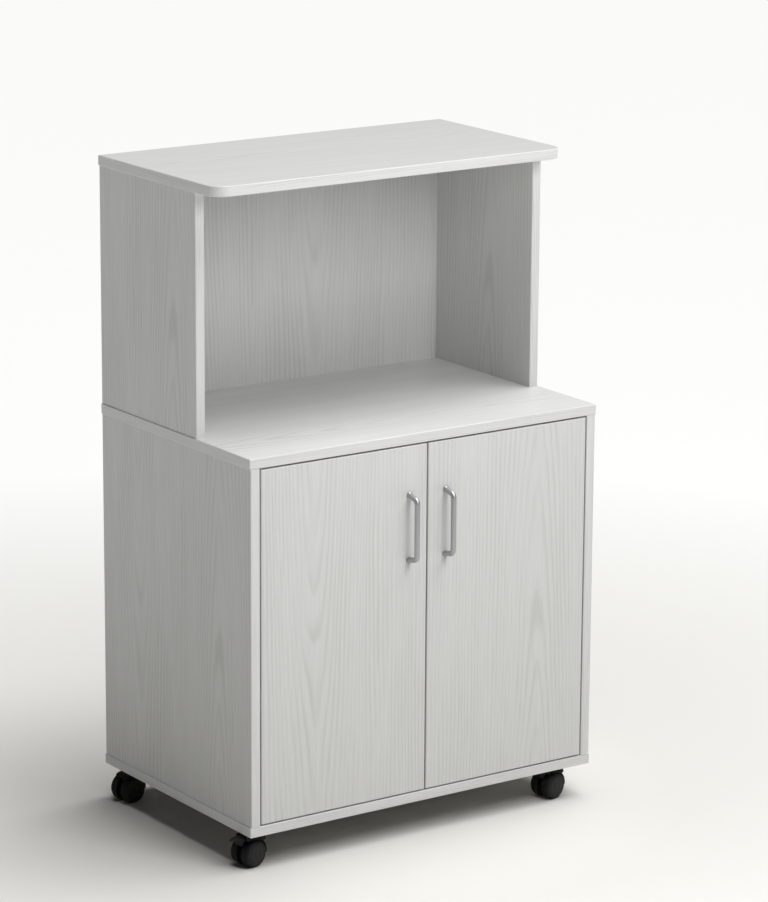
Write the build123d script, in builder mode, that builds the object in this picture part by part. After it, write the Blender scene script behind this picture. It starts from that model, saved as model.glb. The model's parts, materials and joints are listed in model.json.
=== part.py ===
from build123d import *
import os
from math import cos, hypot, radians

# Kitchen storage cart: an open bay above a two-door cabinet, on four swivel casters.
# Millimetres. Z is up from the floor, the doors face -Y, X runs to the right of someone facing them.

# Boards of white wood-grain particle board
board = 15.0
edge_break = 0.8
board_width = 604.0
side_overhang = 1.5
cabinet_depth = 403.0
lower_side_height = 524.0
upper_side_height = 353.0
upper_side_depth = 261.0
top_depth = 316.0
top_corner_radius = 25.0
upper_back_inset = 4.0

# Hardboard back of the cabinet, in grooves
back_sheet = 3.0
groove_depth = 6.0
groove_from_rear = 12.0
groove_slack = 0.2
groove_end_gap = 0.5

# Inner shelf and its pins
shelf_height = 255.0
shelf_front_gap = 21.5
shelf_back_gap = 3.0
shelf_side_gap = 1.0
shelf_pin_radius = 2.5
shelf_pin_grip = 9.0
shelf_pin_reach = 8.0
shelf_pin_inset = 45.0

# Dowels, cam locks and cam bolts that join the boards, all of them with flat-sided shanks
fit_gap = 0.02
end_gap = 0.5
shank_sides = 8
lower_fitting_inset = 50.0
upper_fitting_inset = 75.0
dowel_radius = 4.0
dowel_in_face = 10.0
dowel_in_end = 20.0
cam_radius = 7.5
cam_sides = 12
cam_depth = 12.5
cam_distance = 34.0
cam_mouth = 4.5
bolt_radius = 3.4
bolt_bore_radius = 4.0
bolt_thread_radius = 2.5
bolt_thread = 11.0

# Doors, set in flush between the sides
hinge_gap = 2.2
meeting_gap = 2.6
door_gap_below = 2.0
door_gap_above = 2.5
hinge_from_end = 80.0

# Bow handles
handle_from_edge = 30.5
handle_height = 416.5
handle_spacing = 96.0
handle_reach = 20.0
handle_slant = 3.0
handle_elbow = 5.0
handle_bar_radius = 4.0

# Concealed hinges: a cup let into the door, an arm hooked round the door's edge, and a plate on the side
cup_radius = 17.4
cup_sides = 24
cup_fit = 0.1
cup_bore_depth = 12.0
cup_edge_distance = 4.0
cup_end_gap = 0.2
cup_wall = 0.8
cup_floor = 0.6
flange_sheet = 1.0
flange_width = 37.0
flange_height = 56.0
flange_corner = 9.0
pin_from_edge = 11.0
pin_radius = 1.25
pin_clearance = 0.05
knuckle_wall = 1.0
knuckle_gap = 0.25
lug_inside = 7.0
lug_sheet = 2.0
arm_sheet = 2.0
arm_width = 12.0
arm_clearance = 0.8
arm_tip_bend = 3.0
arm_hook_bend = 6.0
arm_wall_bend = 3.0
arm_foot = 40.0
arm_cheek = 2.2
plate_ridge = 3.0
plate_wing = 1.5
plate_length = 34.0
plate_wing_length = 14.0
plate_height = 50.0
plate_corner = 4.0
plate_side_gap = 0.1

# Magnetic catch under the worktop and the strike plates on the doors
catch_width = 44.0
catch_depth = 14.0
catch_height = 12.0
catch_gap = 0.3
catch_mouth = 3.0
strike_sheet = 1.0
strike_width = 16.0
strike_height = 8.0
strike_from_edge = 3.0

# Casters: trail is from the swivel axis to the wheels' axle
caster_height = 51.0
caster_inset = 35.0
caster_turn = 192.0
caster_trail = 20.0
wheel_radius = 20.0
wheel_sides = 40
wheel_pair_width = 39.6
wheel_chamfer = 2.6
wheel_skin = 2.6
axle_radius = 3.0
axle_clearance = 0.06
axle_end_gap = 0.3
web_width = 7.8
web_gap = 0.5
web_hub_radius = 8.0
guard_gap = 0.8
guard_sheet = 2.0
guard_width = 31.0
guard_start = 58.0
guard_sweep = 132.0
guard_flats = 6
boss_radius = 10.0
boss_height = 15.0
boss_gap = 0.3
mount_plate_size = 38.0
mount_plate_corner = 5.0
mount_plate_sheet = 2.0
kingpin_radius = 4.0
kingpin_clearance = 0.06
kingpin_length = 10.7

# Brake lever of the two front casters
lever_pivot_out = 10.0
lever_pivot_up = 23.5
lever_pivot_radius = 2.0
lever_clearance = 0.06
lever_knuckle = 3.4
lever_width = 16.0
lever_tip_width = 5.0
lever_reach = 26.5
lever_sheet = 3.0
lever_rise = 2.0
lever_heel = 6.0
shoe_angle = 40.0
shoe_spread = 12.0
shoe_gap = 2.6
ear_sheet = 3.0
ear_gap = 0.4
ear_radius = 4.4
lever_room = 5.6

# Levels and faces that follow from these sizes
front = -cabinet_depth / 2
rear = cabinet_depth / 2
side_outer = board_width / 2 - side_overhang
side_inner = side_outer - board
side_middle = side_outer - board / 2
bottom_under = caster_height
bottom_over = bottom_under + board
worktop_under = bottom_over + lower_side_height
worktop_over = worktop_under + board
top_under = worktop_over + upper_side_height
upper_front = rear - upper_side_depth
upper_middle = rear - upper_side_depth / 2
top_front = rear - top_depth
hands = {"left": -1, "right": 1}

# Places of the joints along the sides, front and rear
lower_joint_ys = (front + lower_fitting_inset, rear - lower_fitting_inset)
upper_joint_ys = (upper_front + upper_fitting_inset, rear - upper_fitting_inset)

os.makedirs("parts", exist_ok=True)


def finish(piece, name):
    """Labels a finished piece and writes it under that name."""
    piece.part.label = name
    export_step(piece.part, f"parts/{name}.step")


def looking(direction, points):
    """Planes at the points, all facing one way, for holes drilled into the face that looks that way."""
    return [Plane(origin=point, z_dir=direction) for point in points]


def at_sides(ys, z):
    """Points at the middle of both side panels, at each y, at one height."""
    return [(hand * side_middle, y, z) for hand in hands.values() for y in ys]


# Top board, with rounded front corners
with BuildPart() as top_panel:
    with BuildSketch(Plane.XY.offset(top_under)) as top_outline:
        with Locations((0, (top_front + rear) / 2)):
            Rectangle(board_width, top_depth)
        fillet(top_outline.vertices().group_by(Axis.Y)[0], top_corner_radius)
    extrude(amount=board)
    chamfer(top_panel.edges().group_by(Axis.Z)[-1], edge_break)
    chamfer(top_panel.edges().group_by(Axis.Z)[0], edge_break)
    with BuildSketch(*looking((0, 0, -1), at_sides(upper_joint_ys, top_under))):
        RegularPolygon(dowel_radius + fit_gap, shank_sides)
    extrude(amount=-(dowel_in_face + end_gap), mode=Mode.SUBTRACT)
finish(top_panel, "top_panel")

# Back groove shared by the worktop, the bottom board and the lower sides
groove_y = rear - groove_from_rear
groove_width = back_sheet + groove_slack
groove_length = 2 * (side_inner + groove_depth)

# Worktop: lower sides stand under it, upper sides on it
with BuildPart() as worktop:
    with BuildSketch(Plane.XY.offset(worktop_under)):
        Rectangle(board_width, cabinet_depth)
    extrude(amount=board)
    chamfer(worktop.edges(), edge_break)
    with BuildSketch(Plane.XY.offset(worktop_under)):
        with Locations((0, groove_y)):
            Rectangle(groove_length, groove_width)
    extrude(amount=groove_depth, mode=Mode.SUBTRACT)
    with BuildSketch(*looking((0, 0, -1), at_sides(lower_joint_ys, worktop_under))):
        RegularPolygon(bolt_thread_radius + fit_gap, shank_sides)
    extrude(amount=-(bolt_thread + end_gap), mode=Mode.SUBTRACT)
    with BuildSketch(*looking((0, 0, 1), at_sides(upper_joint_ys, worktop_over))):
        RegularPolygon(dowel_radius + fit_gap, shank_sides)
    extrude(amount=-(dowel_in_face + end_gap), mode=Mode.SUBTRACT)
finish(worktop, "worktop")

# Bottom board, which carries the casters
with BuildPart() as bottom_panel:
    with BuildSketch(Plane.XY.offset(bottom_under)):
        Rectangle(board_width, cabinet_depth)
    extrude(amount=board)
    chamfer(bottom_panel.edges(), edge_break)
    with BuildSketch(Plane.XY.offset(bottom_over)):
        with Locations((0, groove_y)):
            Rectangle(groove_length, groove_width)
    extrude(amount=-groove_depth, mode=Mode.SUBTRACT)
    with BuildSketch(*looking((0, 0, 1), at_sides(lower_joint_ys, bottom_over))):
        RegularPolygon(dowel_radius + fit_gap, shank_sides)
    extrude(amount=-(dowel_in_face + end_gap), mode=Mode.SUBTRACT)
finish(bottom_panel, "bottom_panel")

# Shelf levels, from the cabinet floor up
shelf_under = bottom_over + shelf_height
shelf_rear = groove_y - back_sheet / 2 - shelf_back_gap
shelf_front = front + board + shelf_front_gap
shelf_pin_z = shelf_under - shelf_pin_radius
shelf_pin_ys = (shelf_front + shelf_pin_inset, shelf_rear - shelf_pin_inset)

# Side panels: the lower pair carries the doors and the shelf, the upper pair stands back from the front
for side, hand in hands.items():
    inward = (-hand, 0, 0)
    with BuildPart() as lower_side:
        with BuildSketch(Plane.XY.offset(bottom_over)):
            with Locations((hand * side_middle, 0)):
                Rectangle(board, cabinet_depth)
        extrude(amount=lower_side_height)
        chamfer(lower_side.edges().filter_by(Axis.Z), edge_break)
        with BuildSketch(Plane.XY.offset(bottom_over)):
            with Locations((hand * (side_inner + groove_depth / 2), groove_y)):
                Rectangle(groove_depth, groove_width)
        extrude(amount=lower_side_height, mode=Mode.SUBTRACT)
        cam_spots = [(hand * side_inner, y, worktop_under - cam_distance) for y in lower_joint_ys]
        with BuildSketch(*looking(inward, cam_spots)):
            RegularPolygon(cam_radius + fit_gap, cam_sides)
        extrude(amount=-cam_depth, mode=Mode.SUBTRACT)
        with BuildSketch(*looking((0, 0, 1), [(hand * side_middle, y, worktop_under) for y in lower_joint_ys])):
            RegularPolygon(bolt_bore_radius, shank_sides)
        extrude(amount=-cam_distance, mode=Mode.SUBTRACT)
        with BuildSketch(*looking((0, 0, -1), [(hand * side_middle, y, bottom_over) for y in lower_joint_ys])):
            RegularPolygon(dowel_radius + fit_gap, shank_sides)
        extrude(amount=-(dowel_in_end + end_gap), mode=Mode.SUBTRACT)
        with BuildSketch(*looking(inward, [(hand * side_inner, y, shelf_pin_z) for y in shelf_pin_ys])):
            RegularPolygon(shelf_pin_radius + fit_gap, shank_sides)
        extrude(amount=-(shelf_pin_grip + end_gap), mode=Mode.SUBTRACT)
    finish(lower_side, f"lower_{side}_side")

    with BuildPart() as upper_side:
        with BuildSketch(Plane.XY.offset(worktop_over)):
            with Locations((hand * side_middle, upper_middle)):
                Rectangle(board, upper_side_depth)
        extrude(amount=upper_side_height)
        chamfer(upper_side.edges().filter_by(Axis.Z), edge_break)
        with BuildSketch(*looking((0, 0, 1), [(hand * side_middle, y, top_under) for y in upper_joint_ys])):
            RegularPolygon(dowel_radius + fit_gap, shank_sides)
        extrude(amount=-(dowel_in_end + end_gap), mode=Mode.SUBTRACT)
        with BuildSketch(*looking((0, 0, -1), [(hand * side_middle, y, worktop_over) for y in upper_joint_ys])):
            RegularPolygon(dowel_radius + fit_gap, shank_sides)
        extrude(amount=-(dowel_in_end + end_gap), mode=Mode.SUBTRACT)
    finish(upper_side, f"upper_{side}_side")

# Upper back board, between the upper sides
with BuildPart() as upper_back:
    with BuildSketch(Plane.XY.offset(worktop_over)):
        with Locations((0, rear - upper_back_inset - board / 2)):
            Rectangle(2 * side_inner, board)
    extrude(amount=upper_side_height)
finish(upper_back, "upper_back")

# Lower back sheet, held in the grooves on all four sides
with BuildPart() as lower_back:
    with BuildSketch(Plane.XZ.offset(-groove_y)):
        with Locations((0, (bottom_over + worktop_under) / 2)):
            Rectangle(
                groove_length - 2 * groove_end_gap,
                lower_side_height + 2 * (groove_depth - groove_end_gap),
            )
    extrude(amount=back_sheet / 2, both=True)
finish(lower_back, "lower_back")

# Inner shelf, resting on four pins
with BuildPart() as inner_shelf:
    with BuildSketch(Plane.XY.offset(shelf_under)):
        with Locations((0, (shelf_front + shelf_rear) / 2)):
            Rectangle(2 * (side_inner - shelf_side_gap), shelf_rear - shelf_front)
    extrude(amount=board)
    chamfer(inner_shelf.edges().filter_by(Axis.X).group_by(Axis.Y)[0], edge_break)
finish(inner_shelf, "inner_shelf")

# Shelf pins: half in the side, half under the shelf
with BuildPart() as shelf_pins:
    for hand in hands.values():
        with BuildSketch(*looking((-hand, 0, 0), [(hand * side_inner, y, shelf_pin_z) for y in shelf_pin_ys])):
            RegularPolygon(shelf_pin_radius, shank_sides)
        extrude(amount=-shelf_pin_grip)
        with BuildSketch(*looking((-hand, 0, 0), [(hand * side_inner, y, shelf_pin_z) for y in shelf_pin_ys])):
            RegularPolygon(shelf_pin_radius, shank_sides)
        extrude(amount=shelf_pin_reach)
finish(shelf_pins, "shelf_pins")

# Cam locks in the lower sides, open at the top for the heads of the bolts
with BuildPart() as cam_locks:
    for hand in hands.values():
        cam_spots = [(hand * side_inner, y, worktop_under - cam_distance) for y in lower_joint_ys]
        with BuildSketch(*looking((hand, 0, 0), cam_spots)):
            RegularPolygon(cam_radius, cam_sides)
        extrude(amount=cam_depth)
    with BuildSketch(*looking((0, 0, 1), at_sides(lower_joint_ys, worktop_under - cam_distance))):
        RegularPolygon(cam_mouth, shank_sides)
    extrude(amount=cam_radius, mode=Mode.SUBTRACT)
finish(cam_locks, "cam_locks")

# Cam bolts: thread in the worktop, shank down to the middle of the cam
with BuildPart() as cam_bolts:
    with BuildSketch(*looking((0, 0, 1), at_sides(lower_joint_ys, worktop_under))):
        RegularPolygon(bolt_thread_radius, shank_sides)
    extrude(amount=bolt_thread)
    with BuildSketch(*looking((0, 0, -1), at_sides(lower_joint_ys, worktop_under))):
        RegularPolygon(bolt_radius, shank_sides)
    extrude(amount=cam_distance - end_gap)
finish(cam_bolts, "cam_bolts")

# Dowels at the lower sides' feet and at both ends of the upper sides
with BuildPart() as wood_dowels:
    for ys, end, up in (
        (lower_joint_ys, bottom_over, -1),
        (upper_joint_ys, worktop_over, -1),
        (upper_joint_ys, top_under, 1),
    ):
        with BuildSketch(*looking((0, 0, up), at_sides(ys, end - up * dowel_in_end))):
            RegularPolygon(dowel_radius, shank_sides)
        extrude(amount=dowel_in_end + dowel_in_face)
finish(wood_dowels, "wood_dowels")

# Door faces, and the hinge places that doors, cups, arms and plates share
door_back = front + board
door_edge = side_inner - hinge_gap
door_width = door_edge - meeting_gap / 2
door_bottom = bottom_over + door_gap_below
door_top = worktop_under - door_gap_above
hinge_zs = (door_bottom + hinge_from_end, door_top - hinge_from_end)
cup_bore_radius = cup_radius + cup_fit
cup_x = door_edge - cup_edge_distance - cup_bore_radius
cup_bottom = door_back - cup_bore_depth + cup_end_gap
knuckle_radius = pin_radius + pin_clearance + knuckle_wall
pin_x = door_edge - pin_from_edge
pin_y = cup_bottom + cup_floor + knuckle_gap + knuckle_radius
handle_x = meeting_gap / 2 + handle_from_edge
foot_zs = [bottom_under + handle_height + up * handle_spacing / 2 for up in (-1, 1)]
grip_zs = [foot_zs[0] + handle_slant, foot_zs[1] - handle_slant]

# Hinge arm for the left door, about its pin: strut in the cup, hook round the door's edge, foot on the side
arm_line = hypot(pin_from_edge, door_back - pin_y) + arm_clearance + arm_sheet / 2
hook_x = arm_line - pin_x
hook_y = arm_line + pin_y
foot_x = plate_ridge + arm_sheet / 2 - side_inner
foot_middle = hook_y + arm_foot - plate_length / 2
cheek_z = arm_width / 2 - arm_sheet / 2
pin_spot = (-pin_x, pin_y)
with BuildPart() as hinge_arm:
    with BuildLine(Plane.XY.offset(-arm_width / 2)) as strap:
        Polyline(
            pin_spot,
            (hook_x - arm_tip_bend, pin_y),
            (hook_x, pin_y + arm_tip_bend),
            (hook_x, hook_y - arm_hook_bend),
            (hook_x - arm_hook_bend, hook_y),
            (foot_x + arm_wall_bend, hook_y),
            (foot_x, hook_y + arm_wall_bend),
            (foot_x, hook_y + arm_foot),
        )
    with BuildSketch(Plane.XY.offset(-arm_width / 2)):
        trace(strap.line, line_width=arm_sheet)
        with Locations(pin_spot):
            RegularPolygon(knuckle_radius, shank_sides)
    extrude(amount=arm_width)
    with BuildSketch(Plane.XY.offset(-arm_width / 2)):
        with Locations(pin_spot):
            Circle(pin_radius + pin_clearance)
    extrude(amount=arm_width, mode=Mode.SUBTRACT)
    # Cheeks of the foot fold down beside the plate's ridge
    for up in (-1, 1):
        with BuildSketch(Plane.XY.offset(up * cheek_z - arm_sheet / 2)):
            with Locations((foot_x - arm_sheet / 2 - arm_cheek / 2, foot_middle)):
                Rectangle(arm_cheek, plate_length)
        extrude(amount=arm_sheet)

# Mounting plate for the left side: two wings for screws and a ridge that carries the arm
plate_plane = Plane(origin=(-side_inner, foot_middle, 0), x_dir=(0, 1, 0), z_dir=(1, 0, 0))
with BuildPart() as hinge_plate:
    with BuildSketch(plate_plane):
        Rectangle(plate_length, arm_width - 2 * arm_sheet - 2 * plate_side_gap)
    extrude(amount=plate_ridge)
    with BuildSketch(plate_plane) as wings:
        Rectangle(plate_wing_length, plate_height)
        chamfer(wings.vertices(), plate_corner)
    extrude(amount=plate_wing)
    with BuildSketch(plate_plane.offset(plate_ridge - arm_cheek - plate_side_gap)):
        with Locations((0, cheek_z), (0, -cheek_z)):
            Rectangle(plate_length, arm_sheet + 2 * plate_side_gap)
    extrude(amount=arm_cheek, mode=Mode.SUBTRACT)

# Hinge cup for the left door: pressed cup with a flange, and the pin between two lugs on its floor
cup_plane = Plane(origin=(-cup_x, door_back, 0), x_dir=(1, 0, 0), z_dir=(0, 1, 0))
cup_depth = door_back - cup_bottom
with BuildPart() as hinge_cup:
    with BuildSketch(cup_plane) as flange:
        Rectangle(flange_width, flange_height)
        chamfer(flange.vertices(), flange_corner)
    extrude(amount=flange_sheet)
    with BuildSketch(cup_plane):
        RegularPolygon(cup_radius, cup_sides)
    extrude(amount=-cup_depth)
    with BuildSketch(cup_plane.offset(flange_sheet)):
        RegularPolygon(cup_radius - cup_wall, cup_sides)
    extrude(amount=-(flange_sheet + cup_depth - cup_floor), mode=Mode.SUBTRACT)
    for up in (-1, 1):
        with BuildSketch(Plane.XY.offset(up * (lug_inside + lug_sheet / 2) - lug_sheet / 2)):
            with Locations((-pin_x, (cup_bottom + pin_y + knuckle_radius) / 2)):
                Rectangle(2 * knuckle_radius, pin_y + knuckle_radius - cup_bottom)
        extrude(amount=lug_sheet)
    with BuildSketch(Plane.XY.offset(-lug_inside)):
        with Locations(pin_spot):
            Circle(pin_radius)
    extrude(amount=2 * lug_inside)

# The hinges at their heights: the left ones as made, the right ones mirrored
for side, hand in hands.items():
    for made, name in ((hinge_arm, "arms"), (hinge_plate, "plates"), (hinge_cup, "cups")):
        with BuildPart() as placed:
            with Locations(*[(0, 0, z) for z in hinge_zs]):
                add(made.part)
            if hand > 0:
                mirror(about=Plane.YZ, mode=Mode.REPLACE)
        finish(placed, f"{side}_hinge_{name}")

# Doors, handles and strike plates
for side, hand in hands.items():
    with BuildPart() as door:
        with BuildSketch(Plane.XZ.offset(-door_back)):
            with Locations((hand * (door_edge - door_width / 2), (door_bottom + door_top) / 2)):
                Rectangle(door_width, door_top - door_bottom)
        extrude(amount=board)
        chamfer(door.faces().sort_by(Axis.Y)[0].edges(), edge_break)
        with Locations(*looking((0, 1, 0), [(hand * cup_x, door_back, z) for z in hinge_zs])):
            Hole(cup_bore_radius, cup_bore_depth)
    finish(door, f"{side}_door")

    with BuildPart() as handle:
        corners = [Vector(hand * handle_x, front - handle_reach, z) for z in grip_zs]
        feet = [Vector(hand * handle_x, front, z) for z in foot_zs]
        legs = [(foot - corner).normalized() for foot, corner in zip(feet, corners)]
        elbow = Vector(0, 0, handle_elbow)
        with BuildLine() as route:
            Polyline(
                feet[0] + legs[0] * handle_bar_radius,
                corners[0] + legs[0] * handle_elbow,
                corners[0] + elbow,
                corners[1] - elbow,
                corners[1] + legs[1] * handle_elbow,
                feet[1] + legs[1] * handle_bar_radius,
            )
        with BuildSketch(Plane(origin=route.line @ 0, z_dir=route.line % 0)):
            Circle(handle_bar_radius)
        sweep(path=route.line, transition=Transition.RIGHT)
        split(bisect_by=Plane(origin=(0, front, 0), z_dir=(0, -1, 0)), keep=Keep.TOP)
    finish(handle, f"{side}_handle")

    with BuildPart() as strike_plate:
        strike_x = hand * (meeting_gap / 2 + strike_from_edge + strike_width / 2)
        strike_z = door_top - strike_from_edge / 2 - strike_height / 2
        with BuildSketch(Plane(origin=(strike_x, door_back, strike_z), x_dir=(1, 0, 0), z_dir=(0, 1, 0))):
            Rectangle(strike_width, strike_height)
        extrude(amount=strike_sheet)
    finish(strike_plate, f"{side}_strike_plate")

# Double magnetic catch: a block under the worktop with a mouth for each strike plate
with BuildPart() as door_catch:
    catch_front = door_back + strike_sheet + catch_gap
    with BuildSketch(Plane.XY.offset(worktop_under)):
        with Locations((0, catch_front + catch_depth / 2)):
            Rectangle(catch_width, catch_depth)
    extrude(amount=-catch_height)
    with BuildSketch(Plane(origin=(0, catch_front, worktop_under - catch_height / 2), z_dir=(0, -1, 0))):
        Rectangle(catch_width - 2 * catch_mouth, catch_mouth)
    extrude(amount=-catch_mouth / 2, mode=Mode.SUBTRACT)
finish(door_catch, "door_catch")

# One caster in its own frame: swivel axis on Z, wheels trailing to +X, floor at zero
axle_at = Vector(caster_trail, wheel_radius)
mount_plate_under = caster_height - mount_plate_sheet
boss_top = mount_plate_under - boss_gap
pivot_at = axle_at + Vector(lever_pivot_out, lever_pivot_up)
ear_inside = lever_width / 2 + ear_gap

# Corners of the guard's flats, inside and outside, round the axle
guard_step = guard_sweep / guard_flats
guard_inner = (wheel_radius + guard_gap) / cos(radians(guard_step / 2))
guard_angles = [guard_start + guard_step * i for i in range(guard_flats + 1)]
inner_corners = [axle_at + Vector(guard_inner, 0).rotate(Axis.Z, angle) for angle in guard_angles]
outer_corners = [axle_at + Vector(guard_inner + guard_sheet, 0).rotate(Axis.Z, angle) for angle in guard_angles]

with BuildPart() as mount_plate:
    with BuildSketch(Plane.XY.offset(mount_plate_under)) as plate_outline:
        Rectangle(mount_plate_size, mount_plate_size)
        chamfer(plate_outline.vertices(), mount_plate_corner)
    extrude(amount=mount_plate_sheet)
    with BuildSketch(Plane.XY.offset(mount_plate_under)):
        Circle(kingpin_radius)
    extrude(amount=-kingpin_length)

# Hood: boss round the kingpin, guard over both wheels, and the web between them that carries the axle
with BuildPart() as hood:
    with BuildSketch(Plane.XY.offset(boss_top)):
        RegularPolygon(boss_radius, shank_sides, rotation=180 / shank_sides)
    extrude(amount=-boss_height)
    with BuildSketch(Plane.XZ):
        with BuildLine():
            Polyline(*inner_corners, *reversed(outer_corners), close=True)
        make_face()
    extrude(amount=guard_width / 2, both=True)
    with BuildSketch(Plane.XZ):
        with BuildLine():
            Polyline(axle_at, *inner_corners, close=True)
        make_face()
    extrude(amount=guard_width / 2, both=True, mode=Mode.SUBTRACT)
    with BuildSketch(Plane.XZ):
        with BuildLine():
            Polyline(axle_at, *outer_corners, close=True)
        make_face()
        with Locations(axle_at):
            RegularPolygon(web_hub_radius, shank_sides)
    extrude(amount=web_width / 2, both=True)
    with BuildSketch(Plane.XY.offset(boss_top)):
        Circle(kingpin_radius + kingpin_clearance)
    extrude(amount=-kingpin_length, mode=Mode.SUBTRACT)
    with BuildSketch(Plane.XZ):
        with Locations(axle_at):
            Circle(axle_radius + fit_gap)
    extrude(amount=web_width, both=True, mode=Mode.SUBTRACT)

# Hood of a braked caster: the same with two ears that hold the lever's pin, and room for the lever
with BuildPart() as braked_hood:
    add(hood.part)
    with BuildSketch(Plane.XZ):
        with Locations(pivot_at):
            RegularPolygon(ear_radius, shank_sides)
    extrude(amount=ear_inside + ear_sheet, both=True)
    with BuildSketch(Plane.XZ):
        with Locations(pivot_at):
            RegularPolygon(lever_room, shank_sides)
    extrude(amount=ear_inside, both=True, mode=Mode.SUBTRACT)
    with BuildSketch(Plane.XZ):
        with Locations(pivot_at):
            Circle(lever_pivot_radius)
    extrude(amount=ear_inside, both=True)

# Brake lever: a pedal with a pointed tip, hung on the pin, with a shoe above both wheels
shoe_radius = wheel_radius + shoe_gap
shoe_heel = axle_at + Vector(shoe_radius, 0).rotate(Axis.Z, shoe_angle + shoe_spread / 2)
shoe_toe = axle_at + Vector(shoe_radius, 0).rotate(Axis.Z, shoe_angle - shoe_spread / 2)
pedal_tip = pivot_at + Vector(lever_reach, lever_rise)
pedal_bend = pivot_at.X + lever_reach / 2
with BuildPart() as brake_lever:
    with BuildSketch(Plane.XZ):
        with Locations(pivot_at):
            RegularPolygon(lever_knuckle, shank_sides)
        with BuildLine():
            Polyline(
                shoe_heel,
                shoe_toe,
                (pedal_bend, pivot_at.Y - lever_sheet / 2),
                pedal_tip - Vector(0, lever_sheet / 2),
                pedal_tip,
                pivot_at + Vector(0, lever_sheet),
                pivot_at,
                close=True,
            )
        make_face()
    extrude(amount=lever_width / 2, both=True)
    with BuildSketch(Plane.XY):
        with BuildLine():
            Polyline(
                (pivot_at.X - lever_heel, -lever_width / 2),
                (pedal_bend, -lever_width / 2),
                (pedal_tip.X, -lever_tip_width / 2),
                (pedal_tip.X, lever_tip_width / 2),
                (pedal_bend, lever_width / 2),
                (pivot_at.X - lever_heel, lever_width / 2),
                close=True,
            )
        make_face()
    extrude(amount=caster_height, mode=Mode.INTERSECT)
    with BuildSketch(Plane.XZ):
        with Locations(pivot_at):
            Circle(lever_pivot_radius + lever_clearance)
    extrude(amount=lever_width, both=True, mode=Mode.SUBTRACT)

with BuildPart() as axle:
    with BuildSketch(Plane.XZ):
        with Locations(axle_at):
            Circle(axle_radius)
    extrude(amount=wheel_pair_width / 2 - wheel_skin - axle_end_gap, both=True)

# Left wheel, many-sided, with a chamfered outer rim and a blind bore for the axle
wheel_inside = web_width / 2 + web_gap
wheel_outside = wheel_pair_width / 2
with BuildPart() as left_wheel:
    with BuildSketch(Plane.XZ.offset(wheel_inside)):
        with Locations(axle_at):
            RegularPolygon(wheel_radius, wheel_sides)
    extrude(amount=wheel_outside - wheel_inside)
    chamfer(left_wheel.faces().sort_by(Axis.Y)[0].edges(), wheel_chamfer)
    with BuildSketch(Plane.XZ.offset(wheel_inside)):
        with Locations(axle_at):
            Circle(axle_radius + axle_clearance)
    extrude(amount=wheel_outside - wheel_inside - wheel_skin, mode=Mode.SUBTRACT)

with BuildPart() as right_wheel:
    mirror(left_wheel.part, about=Plane.XZ)

# The four casters: plates square to the cart, the rest turned the way they trail at rest
swivel_x = board_width / 2 - caster_inset
swivel_y = cabinet_depth / 2 - caster_inset
stands = {}
for row, ahead in (("front", -1), ("rear", 1)):
    for side, hand in hands.items():
        stands[row, side] = (hand * swivel_x, ahead * swivel_y, 0)

with BuildPart() as caster_plates:
    with Locations(*stands.values()):
        add(mount_plate.part)
finish(caster_plates, "caster_plates")

for (row, side), stand in stands.items():
    pieces = {"hood": hood, "axle": axle, "left_wheel": left_wheel, "right_wheel": right_wheel}
    if row == "front":
        pieces["hood"] = braked_hood
        pieces["brake_lever"] = brake_lever
    for name, made in pieces.items():
        with BuildPart() as placed:
            with Locations(Location(stand, (0, 0, caster_turn))):
                add(made.part)
        finish(placed, f"{row}_{side}_caster_{name}")
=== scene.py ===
"""Looks of a kitchen storage cart: wood-grain boards, bow handles, hinges and black twin-wheel casters."""
import json
from math import cos, pi, radians, sin

import bpy
import numpy as np
from mathutils import Matrix, Vector

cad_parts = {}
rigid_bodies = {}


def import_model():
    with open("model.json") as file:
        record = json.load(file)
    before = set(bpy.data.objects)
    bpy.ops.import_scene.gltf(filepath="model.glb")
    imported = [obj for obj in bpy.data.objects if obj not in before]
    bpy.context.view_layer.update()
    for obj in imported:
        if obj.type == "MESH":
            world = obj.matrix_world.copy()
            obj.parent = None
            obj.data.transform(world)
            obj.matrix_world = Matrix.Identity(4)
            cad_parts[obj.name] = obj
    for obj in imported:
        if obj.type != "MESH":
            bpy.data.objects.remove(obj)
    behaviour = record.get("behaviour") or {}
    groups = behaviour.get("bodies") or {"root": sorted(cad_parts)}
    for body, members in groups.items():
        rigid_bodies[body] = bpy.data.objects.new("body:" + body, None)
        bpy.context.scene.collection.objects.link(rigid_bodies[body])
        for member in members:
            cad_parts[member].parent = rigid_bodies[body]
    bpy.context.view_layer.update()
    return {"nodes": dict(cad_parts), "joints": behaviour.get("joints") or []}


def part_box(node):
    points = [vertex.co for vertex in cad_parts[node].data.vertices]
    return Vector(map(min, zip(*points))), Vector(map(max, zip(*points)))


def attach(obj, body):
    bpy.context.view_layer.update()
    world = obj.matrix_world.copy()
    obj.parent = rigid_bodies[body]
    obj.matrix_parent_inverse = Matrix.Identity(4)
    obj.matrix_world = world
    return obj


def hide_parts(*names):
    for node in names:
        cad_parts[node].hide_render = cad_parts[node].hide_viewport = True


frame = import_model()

bl_info = {
    "name": "Kitchen Storage Cart",
    "version": (1, 0, 0),
    "blender": (4, 5, 0),
    "location": "View3D > Sidebar > Cart",
    "description": "Dresses the solids of a kitchen storage cart on casters",
    "category": "Object",
}

MM = 0.001
X_WAY, Y_WAY, Z_WAY = np.eye(3)
JOINTS = {joint["name"]: joint for joint in frame["joints"]}
# The two sides, and which way each lies along X or, for a wheel, along its axle
SIDES = {"left": -1, "right": 1}
CASTERS = tuple(f"{row}_{side}" for row in ("front", "rear") for side in SIDES)
# The front casters have brakes
BRAKED = CASTERS[:2]
# Cosine past which a direction counts as one along an axis
ALONG_AXIS = 0.6
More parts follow.
